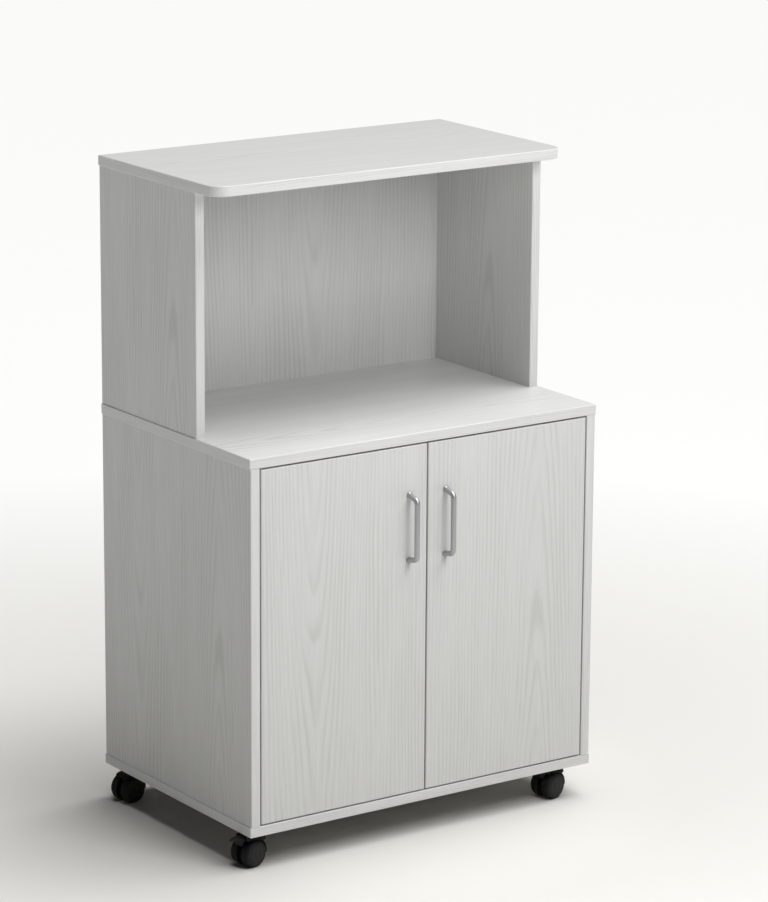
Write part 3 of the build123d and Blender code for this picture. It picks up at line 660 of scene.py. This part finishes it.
class CART_OT_wheels(bpy.types.Operator):
    """Makes the eight caster wheels: a tread with a rounded shoulder, a domed outer face and a blind bore"""
    bl_idname = "cart.wheels"
    bl_label = "Wheels"

    def execute(self, context):
        look = context.scene.cart_casters
        radius, shoulder = look.wheel_radius / MM, look.shoulder / MM
        nylon = moulded_black_nylon()
        # Where the wheel starts and ends along the axle, in millimetres from the middle of the pair
        inside, outside = 4.4, 19.8
        # The shoulder is a quarter ellipse, half as long again along the axle as it is deep, and it ends 1 mm
        # short of the outside
        arc = np.linspace(0, pi / 2, 9)
        bend = np.stack([radius - shoulder * (1 - np.cos(arc)),
                         outside - 1.0 - 1.5 * shoulder * (1 - np.sin(arc))], -1)
        # Radius and place along the axle, from the end of the bore round to the cap
        profile = np.concatenate([
            [(0.3, outside - 2.6), (3.06, outside - 2.6), (3.06, inside + 0.3), (3.4, inside), (7.6, inside),
             (8.2, inside + 1.2), (16.6, inside + 1.2), (17.2, inside), (radius - 0.6, inside),
             (radius, inside + 0.6)],
            bend,
            [(14.6, outside - 0.75), (14.3, outside - 1.2), (13.7, outside - 1.2), (13.4, outside - 0.65),
             (10.0, outside - 0.35), (6.2, outside - 0.15), (5.9, outside - 0.5), (5.5, outside - 0.5),
             (5.2, outside - 0.1), (0.3, outside)],
        ])
        for caster in CASTERS:
            axis, axle = caster_frame(caster)[2:]
            for side, hand in SIDES.items():
                points, *faces = turned(profile, axle, hand * axis, 96)
                wheel = make(f"{caster}_{side}_nylon_wheel", [(points, *faces)], nylon,
                             f"{caster}_{side}_wheel", "black_nylon_wheel", f"{caster}_caster_{side}_wheel")
                # How much each point is tread: 0 below the shoulder, rising to 1 at the full radius
                out = np.linalg.norm(np.cross(points - axle, axis), axis=1)
                tread = np.clip((out - look.wheel_radius + look.shoulder) / look.shoulder, 0, 1)
                wheel.data.attributes.new("tread", "FLOAT", "POINT").data.foreach_set("value", tread)
        return {"FINISHED"}


class CART_OT_hoods(bpy.types.Operator):
    """Makes the caster hoods: a boss round the kingpin, a guard over the wheels and a web between them"""
    bl_idname = "cart.hoods"
    bl_label = "Hoods"

    def execute(self, context):
        look = context.scene.cart_casters
        plastic = moulded_black_polypropylene()
        middle = look.wheel_radius + look.guard_gap + look.guard_sheet / 2
        # Guard: a thin rounded section on an arc about the axle, its corners drawn in as quarter ellipses.
        # Where the arc ends, in degrees from the trailing side, the steps along it and those of a corner, and
        # how far a corner is drawn in
        guard_end, steps, corner_steps, corner_in = 190, 56, 5, 2.5 * MM
        place = np.arange(steps)
        near_end = 1 - np.clip(np.minimum(place, place[::-1]) / corner_steps, 0, 1)
        half = look.guard_width / 2 - corner_in * (1 - np.sqrt(np.clip(1 - near_end ** 2, 0, 1)))
        # Boss: radius and height over the floor, with a blind bore for the kingpin and a flare at the guard
        boss_profile = [(0.3, 38.0), (4.06, 38.0), (4.06, 48.0), (4.7, 48.7), (8.9, 48.7), (9.7, 48.3),
                        (10.0, 47.5), (10.0, 41.0), (10.4, 38.0), (11.0, 36.0), (11.0, 35.0), (10.2, 34.0),
                        (8.5, 33.6), (0.3, 33.6)]
        # The web runs past the guard's ends and rises to it over a ramp, both in degrees; below it is round
        web_past, web_ramp, hub_radius, web_thick = 10, 14, 8.0, 7.8
        degrees = np.linspace(0, 360, 120, endpoint=False)
        sweep = np.radians(degrees)
        round_about = np.stack([np.cos(sweep), np.sin(sweep)], -1)
        # Ears: discs about the lever's pin, each drawn out towards the guard like a drop
        towards_guard = np.clip(np.cos(sweep - radians(207)), 0, 1)
        ear = (4.2 + 5.2 * towards_guard ** 6)[:, None] * round_about
        ear_place, ear_thick = 8.5, 2.9
        pin_head = [(2.3, -0.5), (2.3, 0.2), (1.9, 0.7), (1.0, 1.0), (0.2, 1.05)]
        for caster in CASTERS:
            swivel, trail, axis, axle = caster_frame(caster)
            # Under a brake lever the guard starts later
            guard_start = 76 if caster in BRAKED else 58
            angle = np.radians(np.linspace(guard_start, guard_end, steps))[:, None]
            arc = axle + middle * (np.cos(angle) * trail + np.sin(angle) * Z_WAY)
            guard = carried(arc, half, look.guard_sheet / 2, axis, square=7.0)
            boss = turned(boss_profile, swivel, Z_WAY, 56)
            # Web: a flat piece whose rim swings out from the hub to the guard and back, seen along the axle
            rise = (np.clip((degrees - guard_start + web_past) / web_ramp, 0, 1)
                    * np.clip((guard_end + web_past - degrees) / web_ramp, 0, 1))
            rim = hub_radius + (middle / MM - hub_radius) * rise ** 2 * (3 - 2 * rise)
            web_face = axle - web_thick / 2 * MM * axis
            web = plate(rim[:, None] * round_about, web_face, trail, Z_WAY, axis, web_thick)
            surfaces = [guard, boss, web]
            if caster in BRAKED:
                pivot = np.array(JOINTS[f"{caster}_brake_press"]["pos_m"])
                for way in (-1, 1):
                    surfaces.append(plate(ear, pivot + way * ear_place * MM * axis, trail, Z_WAY, way * axis,
                                          ear_thick))
                    surfaces.append(turned(pin_head, pivot + way * (ear_place + ear_thick) * MM * axis,
                                           way * axis, 24))
            make(f"{caster}_moulded_hood", surfaces, plastic, f"{caster}_swivel", "black_plastic",
                 f"{caster}_caster_hood")
        return {"FINISHED"}


class CART_OT_brake_levers(bpy.types.Operator):
    """Makes the front casters' brake levers: a tapering pedal with a knuckle and a shoe over the wheels"""
    bl_idname = "cart.brake_levers"
    bl_label = "Brake levers"

    def execute(self, context):
        plastic = moulded_black_polypropylene()
        # Millimetres along the lever from its pin, and its top, underside and half width there
        along = (-3.3, -2.9, -1.8, 0.0, 2.5, 4.5, 6.5, 8.6, 10.4, 12.2, 14.0, 18.0, 22.0, 25.4, 26.4)
        top = (0.4, 1.7, 2.8, 3.2, 3.3, 3.2, 3.0, 2.8, 2.7, 2.6, 2.6, 2.5, 2.4, 2.1, 1.7)
        under = (-0.4, -1.7, -2.7, -3.3, -4.4, -6.0, -8.1, -10.4, -7.4, -3.4, -1.6, -1.0, -0.3, 0.4, 0.9)
        half = (7.2, 7.7, 7.9, 7.9, 7.9, 7.9, 7.9, 7.9, 7.9, 7.8, 7.4, 5.8, 4.1, 2.7, 1.9)
        reach = np.linspace(along[0], along[-1], 90)
        top, under, half = (np.interp(reach, along, values)[:, None] for values in (top, under, half))
        # Section at each place: a superellipse between the top and the underside, standing upright
        a, b = superellipse(5.0, 48)
        height = (top + under) / 2 + (top - under) / 2 * b
        for caster in BRAKED:
            trail, axis = caster_frame(caster)[1:3]
            pivot = np.array(JOINTS[f"{caster}_brake_press"]["pos_m"])
            rings = pivot + MM * (reach[:, None, None] * trail + (half * a)[..., None] * axis
                                  + height[..., None] * Z_WAY)
            make(f"{caster}_brake_pedal", [skin(rings)], plastic, f"{caster}_brake", "black_plastic",
                 f"{caster}_caster_brake_lever")
        return {"FINISHED"}


def pan_head(centre, out, look, turn):
    """Cross-head screw: a dome over a polar grid, height falling as an ellipse's, with a cross-shaped recess
    where the distance from either of two lines through the middle is small, deeper towards the middle. The
    turn is the cross's angle."""
    out = np.asarray(out, float)
    across = np.cross(out, Z_WAY if abs(out[2]) < ALONG_AXIS else X_WAY)
    high = np.cross(out, across)
    share = np.concatenate([[1.0, 1.0], np.linspace(0.96, 0.04, 12)])[:, None]
    angle = np.linspace(0, 2 * pi, 40, endpoint=False)[None, :]
    a, b = share * np.cos(angle), share * np.sin(angle)
    # The dome stops at the rim, where it is still the root of 1 - 0.85 high
    height = np.sqrt(np.clip(1 - 0.85 * share ** 2, 0, 1)) + 0 * angle
    height[0] = 0.0
    # Half width and reach of the recess as shares of the radius, each with its soft edge, and its depth
    half, half_edge, reach, reach_edge, depth = 0.17, 0.08, 0.62, 0.12, 0.45
    slot = np.minimum(np.abs(a * cos(turn) + b * sin(turn)), np.abs(b * cos(turn) - a * sin(turn)))
    cut = np.clip((half - slot) / half_edge, 0, 1) * np.clip((reach - share) / reach_edge, 0, 1)
    height = height - depth * cut * (1 - 0.5 * share)
    flat = look.head_radius * (a[..., None] * across + b[..., None] * high)
    return skin(np.asarray(centre) + flat + look.head_height * height[..., None] * out)


class CART_OT_hinges(bpy.types.Operator):
    """Makes the concealed hinges: pressed cups with a riveted pin, and bent arms with adjusting screws"""
    bl_idname = "cart.hinges"
    bl_label = "Hinges"

    def execute(self, context):
        look = context.scene.cart_hinges
        nickel = nickel_plated_steel()
        outer, inner = look.cup_radius / MM, (look.cup_radius - look.cup_wall) / MM
        flange = oval(look.flange_width / MM / 2, look.flange_height / MM / 2, 3.4)
        circle = oval(1, 1, 2)
        # Along the pin from the middle of a hinge: its riveted heads, and the knuckle of the arm round it
        knuckle_radius = 2.3
        pin_profile = [(0.2, -9.6), (1.5, -9.6), (1.9, -9.3), (1.9, -9.0), (1.25, -8.9), (1.25, 8.9),
                       (1.9, 9.0), (1.9, 9.3), (1.5, 9.6), (0.2, 9.6)]
        knuckle_profile = [(1.32, -5.7), (1.5, -6.0), (2.1, -6.0), (knuckle_radius, -5.7),
                           (knuckle_radius, 5.7), (2.1, 6.0), (1.5, 6.0), (1.32, 5.7)]
        # Back from the arm's end to the middle of its foot and to its crank; height of the plate's ridge
        foot_back, crank_back, ridge = 17 * MM, 40 * MM, 2.2 * MM
        # The strap starts inside the knuckle and has three bends
        strap_start, bends = 1.8 * MM, (4.5 * MM, 8 * MM, 4.5 * MM)
        # From a hinge's middle to its lugs and to the cheeks of the foot, each 2 mm thick
        lug_place, cheek_place, thick = 7 * MM, 4 * MM, 2
        # Half width of a cheek, in millimetres, and the way from the foot's middle to its screws
        cheek, screw_place = 1.6, 9 * MM
        cheek_outline = oval(cheek, foot_back / MM, 8, 48)
        for side, hand in SIDES.items():
            low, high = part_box(f"{side}_hinge_cups")
            arm_low, arm_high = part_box(f"{side}_hinge_arms")
            pin = np.array(JOINTS[f"{side}_door_hinge"]["pos_m"])
            door_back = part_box(f"{side}_door")[1].y
            floor = (low.y - door_back) / MM
            # Section of a cup: radius and height over the door's back, from the middle of its floor up to the
            # rim, out over the flange, and back underneath to the middle
            rings = [(0.3 * circle, floor + 0.6), ((inner - 1.4) * circle, floor + 0.6),
                     ((inner - 0.4) * circle, floor + 0.95), (inner * circle, floor + 1.9),
                     (inner * circle, -0.3), ((inner + 0.25) * circle, 0.5), ((inner + 0.95) * circle, 1.0),
                     (0.975 * flange, 1.0), (flange, 0.6), (flange, 0.0), (outer * circle, 0.0),
                     (outer * circle, floor + 1.2), ((outer - 1.0) * circle, floor), (0.3 * circle, floor)]
            flat, heights = (np.array(column) for column in zip(*rings))
            cup = MM * (flat[..., :1] * X_WAY + flat[..., 1:] * Z_WAY + heights[:, None, None] * Y_WAY)
            cups, arms = [], []
            hook_x = (arm_high.x if hand < 0 else arm_low.x) + hand * look.arm_sheet / 2
            foot_x = (arm_low.x if hand < 0 else arm_high.x) - hand * (ridge + look.arm_sheet / 2)
            crank_y, foot_y = arm_high.y - crank_back, arm_high.y - foot_back
            lug_top = pin[1] + knuckle_radius * MM
            lug = oval(knuckle_radius, (lug_top - low.y) / MM / 2, 4, 48)
            for z in (low.z + look.flange_height / 2, high.z - look.flange_height / 2):
                centre = np.array(((low.x + high.x) / 2, door_back, z))
                cups.append(skin(centre + cup))
                at_pin = np.array((pin[0], pin[1], z))
                cups.append(turned(pin_profile, at_pin, Z_WAY, 24))
                arms.append(turned(knuckle_profile, at_pin, Z_WAY, 32, tube=True))
                # Strap of an arm: out of the knuckle, round the door's edge and along the side
                corners = [(pin[0] - hand * strap_start, pin[1], z), (hook_x, pin[1], z),
                           (hook_x, crank_y, z), (foot_x, crank_y, z), (foot_x, arm_high.y, z)]
                path = rounded(corners, bends)
                arms.append(carried(path, look.arm_width / 2, look.arm_sheet / 2, Z_WAY, square=9.0))
                for up in (-1, 1):
                    spot = (pin[0], (low.y + lug_top) / 2, z + up * lug_place)
                    cups.append(plate(lug, spot, X_WAY, Y_WAY, up * Z_WAY, thick))
                    # Cheeks of the foot fold down beside the plate's ridge
                    spot = (foot_x + hand * cheek * MM, foot_y, z + up * cheek_place)
                    arms.append(plate(cheek_outline, spot, X_WAY, Y_WAY, up * Z_WAY, thick))
                    spot = (foot_x - hand * look.arm_sheet / 2, foot_y + up * screw_place, z)
                    arms.append(pan_head(spot, -hand * X_WAY, context.scene.cart_screws, 0.6 * up))
            make(f"{side}_pressed_hinge_cups", cups, nickel, f"{side}_door", "nickel_steel",
                 f"{side}_hinge_cups")
            make(f"{side}_bent_hinge_arms", arms, nickel, "carcass", "nickel_steel", f"{side}_hinge_arms")
        return {"FINISHED"}


def inner_wall(side):
    """Place along X of a lower side's inner face."""
    low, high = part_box(f"lower_{side}_side")
    return high.x if SIDES[side] < 0 else low.x


class CART_OT_shelf_pins(bpy.types.Operator):
    """Makes the four shelf pins, turned with a thin collar that stops them at the side"""
    bl_idname = "cart.shelf_pins"
    bl_label = "Shelf pins"

    def execute(self, context):
        low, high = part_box("shelf_pins")
        radius = 2.5 * MM
        profile = [(0.2, -9.0), (2.1, -9.0), (2.48, -8.6), (2.48, 0.0), (3.4, 0.0), (3.6, 0.2), (3.6, 0.6),
                   (3.4, 0.8), (2.48, 0.8), (2.48, 7.6), (2.1, 8.0), (0.2, 8.0)]
        pins = [turned(profile, (inner_wall(side), y, (low.z + high.z) / 2), -hand * X_WAY, 32)
                for side, hand in SIDES.items() for y in (low.y + radius, high.y - radius)]
        make("turned_shelf_pins", pins, nickel_plated_steel(), "carcass", "nickel_steel", "shelf_pins")
        return {"FINISHED"}


class CART_OT_cam_caps(bpy.types.Operator):
    """Makes the white caps that cover the cam locks inside the cabinet"""
    bl_idname = "cart.cam_caps"
    bl_label = "Cam caps"

    def execute(self, context):
        low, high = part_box("cam_locks")
        radius = 7.5 * MM
        profile = [(0.2, 0.0), (8.4, 0.0), (8.6, 0.25), (8.3, 0.7), (7.4, 0.95), (3.0, 1.1), (0.2, 1.15)]
        caps = [turned(profile, (inner_wall(side), y, (low.z + high.z) / 2), -hand * X_WAY, 48)
                for side, hand in SIDES.items() for y in (low.y + radius, high.y - radius)]
        make("cam_cover_caps", caps, moulded_white_abs(), "carcass", "white_plastic")
        return {"FINISHED"}


class CART_OT_screws(bpy.types.Operator):
    """Makes the screw heads on the caster plates, on the hinges and behind the handles"""
    bl_idname = "cart.screws"
    bl_label = "Screws"

    def execute(self, context):
        look = context.scene.cart_screws
        steel = nickel_plated_steel()
        # How far the screws of a caster plate, a hinge plate and a cup's flange stand from its middle
        caster_screws, plate_screws, flange_screws = 13 * MM, 16 * MM, 22.5 * MM
        caster_sheet, hinge_sheet = 2.0 * MM, 1.5 * MM
        half_flange = context.scene.cart_hinges.flange_height / 2
        half_bar = context.scene.cart_handles.bar_radius
        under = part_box("bottom_panel")[0].z - caster_sheet
        # The cross of each head has a turn of its own
        fixed = [pan_head(caster_frame(caster)[0] + (a * caster_screws, b * caster_screws, under), -Z_WAY,
                          look, 0.4 * count + a + 0.3 * b)
                 for count, caster in enumerate(CASTERS) for a in (-1, 1) for b in (-1, 1)]
        for side, hand in SIDES.items():
            plate_low, plate_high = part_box(f"{side}_hinge_plates")
            plate_x = (plate_high.x if hand > 0 else plate_low.x) - hand * hinge_sheet
            plate_y = (plate_low.y + plate_high.y) / 2
            cup_low, cup_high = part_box(f"{side}_hinge_cups")
            cup_x = (cup_low.x + cup_high.x) / 2
            handle_low, handle_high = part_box(f"{side}_handle")
            handle_x = (handle_low.x + handle_high.x) / 2
            door_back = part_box(f"{side}_door")[1].y
            moving = []
            for way in (-1, 1):
                level = cup_low.z + half_flange if way < 0 else cup_high.z - half_flange
                for up in (-1, 1):
                    fixed.append(pan_head((plate_x, plate_y, level + up * plate_screws), -hand * X_WAY, look,
                                          0.5 * way + up))
                    moving.append(pan_head((cup_x, cup_high.y, level + up * flange_screws), Y_WAY, look,
                                           0.9 * way + 0.4 * up))
                foot = handle_low.z + half_bar if way < 0 else handle_high.z - half_bar
                moving.append(pan_head((handle_x, door_back, foot), Y_WAY, look, way))
            make(f"{side}_door_screws", moving, steel, f"{side}_door", "nickel_steel")
        make("carcass_screws", fixed, steel, "carcass", "nickel_steel")
        return {"FINISHED"}


class CART_OT_stage(bpy.types.Operator):
    """Sets the pale floor, the soft light and the camera"""
    bl_idname = "cart.stage"
    bl_label = "Stage"

    def execute(self, context):
        look = context.scene.cart_stage
        objects = context.scene.collection.objects
        # Floor: a flat grid, 50 m wide, one value of x and one of y for each point
        line = np.linspace(-25, 25, 3)
        a, b = (axis.ravel() for axis in np.meshgrid(line, line))
        corner = (np.arange(2)[:, None] * 3 + np.arange(2)).ravel()
        mesh = bpy.data.meshes.new("floor")
        mesh.from_pydata(np.stack([a, b, 0 * a], -1).tolist(), [],
                         np.stack([corner, corner + 1, corner + 4, corner + 3], -1).tolist())
        mesh.materials.append(matt_pale_floor(look.floor, look.far_floor))
        floor = bpy.data.objects.new("floor", mesh)
        objects.link(floor)

        # Both lights look at the middle of the cart
        aim = Vector((0, 0, 0.5))
        overhead = bpy.data.lights.new("overhead", "SUN")
        overhead.energy, overhead.angle = look.overhead, radians(50)
        softbox = bpy.data.lights.new("softbox", "AREA")
        softbox.energy, softbox.size = look.softbox, 0.6
        for lamp, place in ((overhead, (0.95, -0.4, 4.0)), (softbox, (0.1, -1.35, 1.5))):
            light = bpy.data.objects.new(lamp.name, lamp)
            light.location = place
            light.rotation_euler = (aim - Vector(place)).to_track_quat("-Z", "Y").to_euler()
            objects.link(light)

        # The sky shows as white as the far floor, and lights the cart only a little
        world = bpy.data.worlds.new("studio")
        world.use_nodes = True
        tree = world.node_tree
        tree.nodes.clear()
        shows = add(tree, "ShaderNodeLightPath").outputs["Is Camera Ray"]
        strength = add(tree, "ShaderNodeMix", {0: shows, 2: look.sky, 3: 1.0})
        sky = add(tree, "ShaderNodeBackground", {"Color": (1, 1, 1, 1), "Strength": strength})
        add(tree, "ShaderNodeOutputWorld", {"Surface": sky})
        context.scene.world = world
        context.scene.view_settings.view_transform = "Standard"

        camera_data = bpy.data.cameras.new("camera")
        camera_data.lens, camera_data.sensor_width = look.lens, 36
        camera_data.clip_end = 200
        camera = bpy.data.objects.new("camera", camera_data)
        flat = cos(look.tilt)
        forward = Vector((sin(look.heading) * flat, cos(look.heading) * flat, -sin(look.tilt)))
        level = Vector((cos(look.heading), -sin(look.heading), 0))
        right = cos(look.roll) * level + sin(look.roll) * level.cross(forward)
        matrix = Matrix((right, right.cross(forward), -forward)).transposed().to_4x4()
        matrix.translation = look.eye
        camera.matrix_world = matrix
        objects.link(camera)
        context.scene.camera = camera
        return {"FINISHED"}


class CART_PT_sidebar(bpy.types.Panel):
    """Lists the steps that dress the cart"""
    bl_idname = "CART_PT_sidebar"
    bl_label = "Kitchen cart"
    bl_space_type = "VIEW_3D"
    bl_region_type = "UI"
    bl_category = "Cart"

    def draw(self, context):
        for operator in OPERATORS:
            self.layout.operator(operator.bl_idname)
        for name in SETTINGS:
            box = self.layout.box()
            group = getattr(context.scene, name)
            for prop in group.bl_rna.properties:
                if prop.identifier not in {"rna_type", "name"}:
                    box.prop(group, prop.identifier)


SETTINGS = {
    "cart_boards": CartBoardSettings,
    "cart_handles": CartHandleSettings,
    "cart_casters": CartCasterSettings,
    "cart_hinges": CartHingeSettings,
    "cart_screws": CartScrewSettings,
    "cart_stage": CartStageSettings,
}
OPERATORS = (CART_OT_stage, CART_OT_boards, CART_OT_fittings, CART_OT_handles, CART_OT_wheels, CART_OT_hoods,
             CART_OT_brake_levers, CART_OT_hinges, CART_OT_shelf_pins, CART_OT_cam_caps, CART_OT_screws)


def register():
    """Adds the settings, the operators and the panel."""
    for name, group in SETTINGS.items():
        bpy.utils.register_class(group)
        setattr(bpy.types.Scene, name, bpy.props.PointerProperty(type=group))
    for kind in (*OPERATORS, CART_PT_sidebar):
        bpy.utils.register_class(kind)


def unregister():
    """Takes the panel, the operators and the settings away again."""
    for kind in reversed((*OPERATORS, CART_PT_sidebar)):
        bpy.utils.unregister_class(kind)
    for name, group in reversed(SETTINGS.items()):
        delattr(bpy.types.Scene, name)
        bpy.utils.unregister_class(group)


def main():
    """Registers the add-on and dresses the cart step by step."""
    register()
    bpy.ops.cart.stage()
    bpy.ops.cart.boards()
    bpy.ops.cart.fittings()
    bpy.ops.cart.handles()
    bpy.ops.cart.wheels()
    bpy.ops.cart.hoods()
    bpy.ops.cart.brake_levers()
    bpy.ops.cart.hinges()
    bpy.ops.cart.shelf_pins()
    bpy.ops.cart.cam_caps()
    bpy.ops.cart.screws()


if __name__ == "__main__":
    main()
